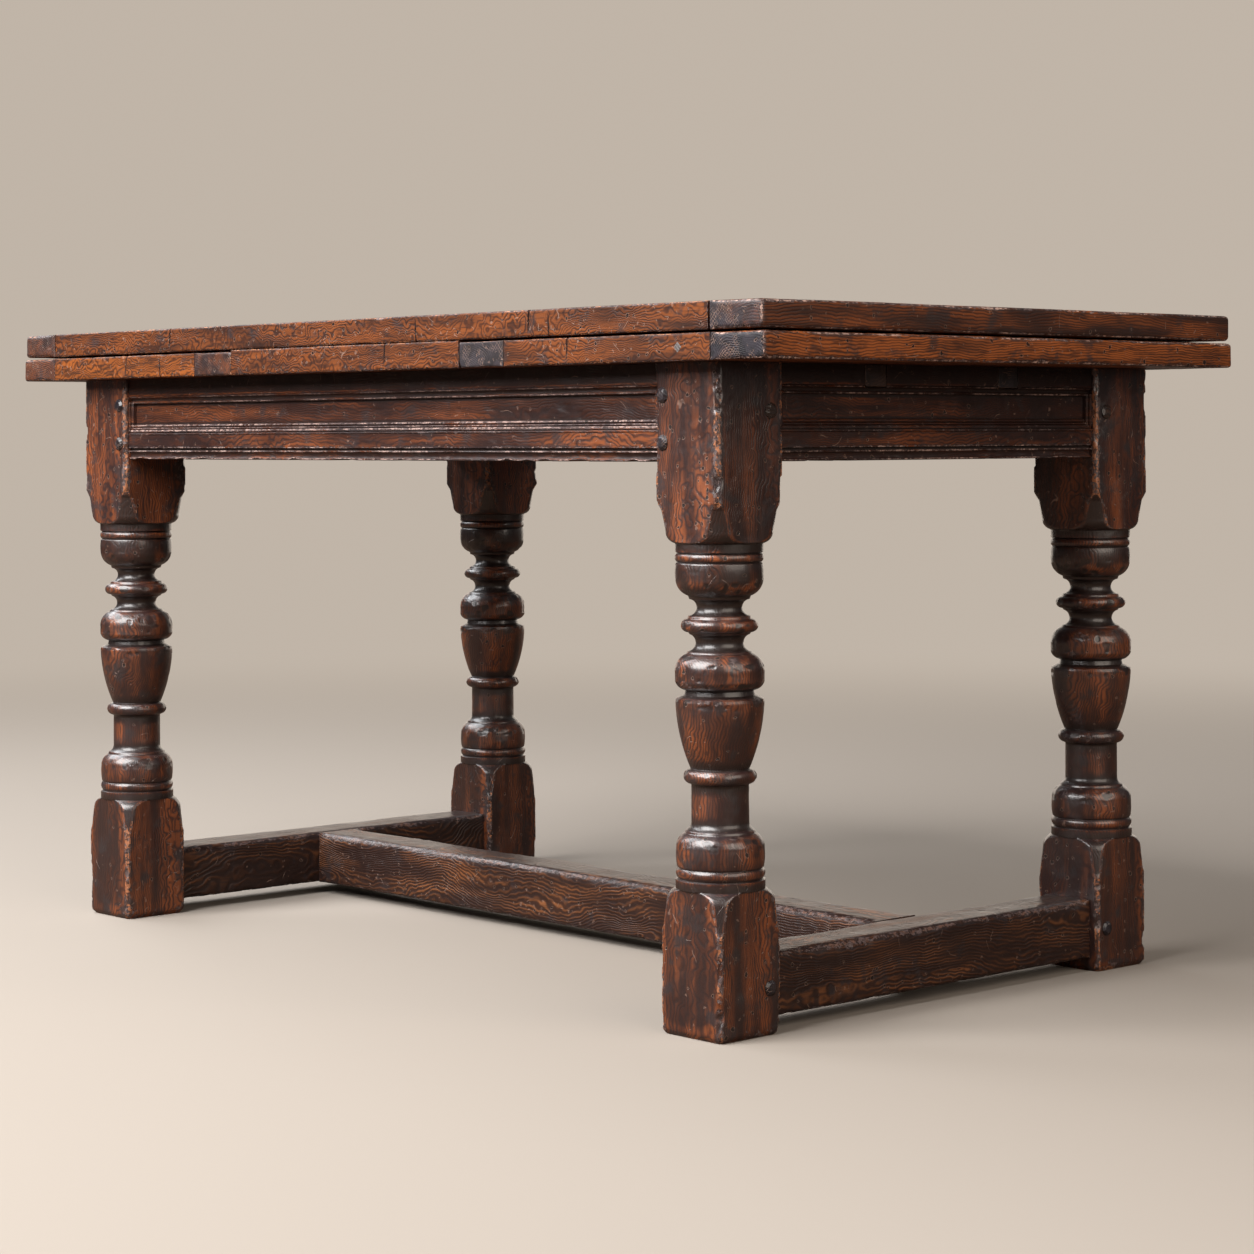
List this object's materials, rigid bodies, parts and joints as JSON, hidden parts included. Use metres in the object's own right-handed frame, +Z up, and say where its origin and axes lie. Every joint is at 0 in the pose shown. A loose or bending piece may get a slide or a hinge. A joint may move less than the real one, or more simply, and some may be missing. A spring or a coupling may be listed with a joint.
{
  "type": "draw-leaf table",
  "caption": "Oak refectory draw-leaf table: turned legs, moulded rails and H stretcher, leaves that pull out on lopers from under a loose, lift-off main top.",
  "frame": {"origin": "on the floor under the middle of the table", "axes": "+X along the table towards the right leaf, +Y across it towards the back, +Z up"},
  "size_m": [1.398, 0.766, 0.76],
  "materials": {
    "oak_boards": "waxed, worn",
    "oak_cleats": "waxed, worn",
    "oak_frame": "dark wax",
    "oak_inside": "bare, dusty",
    "oak_pegs": "dark wax",
    "iron_screws": "blackened"
  },
  "bodies": {
    "frame": {"centre_bearer": "oak_inside", "centre_board_pegs": "oak_pegs", "centre_board_plank_1": "oak_boards", "centre_board_plank_2": "oak_boards", "centre_board_plank_3": "oak_boards", "centre_board_plank_4": "oak_boards", "centre_stretcher": "oak_frame", "end_rail_left": "oak_frame", "end_rail_right": "oak_frame", "end_stretcher_left": "oak_frame", "end_stretcher_right": "oak_frame", "leg_back_left": "oak_frame", "leg_back_right": "oak_frame", "leg_front_left": "oak_frame", "leg_front_right": "oak_frame", "long_rail_back": "oak_frame", "long_rail_front": "oak_frame", "rail_pegs": "oak_pegs", "stretcher_pegs": "oak_pegs"},
    "right_leaf": {"right_leaf_cleat_pegs": "oak_pegs", "right_leaf_edge_peg": "oak_pegs", "right_leaf_inner_cleat": "oak_cleats", "right_leaf_loper_back": "oak_inside", "right_leaf_loper_front": "oak_inside", "right_leaf_loper_screws": "iron_screws", "right_leaf_outer_cleat": "oak_cleats", "right_leaf_plank_1": "oak_boards", "right_leaf_plank_2": "oak_boards", "right_leaf_plank_3": "oak_boards", "right_leaf_plank_4": "oak_boards", "right_leaf_stop_pegs": "oak_pegs"},
    "left_leaf": {"left_leaf_cleat_pegs": "oak_pegs", "left_leaf_inner_cleat": "oak_cleats", "left_leaf_loper_back": "oak_inside", "left_leaf_loper_front": "oak_inside", "left_leaf_loper_screws": "iron_screws", "left_leaf_outer_cleat": "oak_cleats", "left_leaf_plank_1": "oak_boards", "left_leaf_plank_2": "oak_boards", "left_leaf_plank_3": "oak_boards", "left_leaf_plank_4": "oak_boards", "left_leaf_stop_pegs": "oak_pegs"},
    "main_top": {"guide_dowels": "oak_pegs", "top_cleat_left": "oak_cleats", "top_cleat_pegs": "oak_pegs", "top_cleat_right": "oak_cleats", "top_plank_1": "oak_boards", "top_plank_2": "oak_boards", "top_plank_3": "oak_boards", "top_plank_4": "oak_boards"}
  },
  "joints": [
    {"name": "right_leaf_draw", "type": "slide", "parent": "frame", "child": "right_leaf", "axis": [1, 0, 0], "range_m": [0, 0.48]},
    {"name": "left_leaf_draw", "type": "slide", "parent": "frame", "child": "left_leaf", "axis": [-1, 0, 0], "range_m": [0, 0.48]},
    {"name": "top_lift", "type": "slide", "parent": "frame", "child": "main_top", "axis": [0, 0, 1], "range_m": [0, 0.04]}
  ]
}
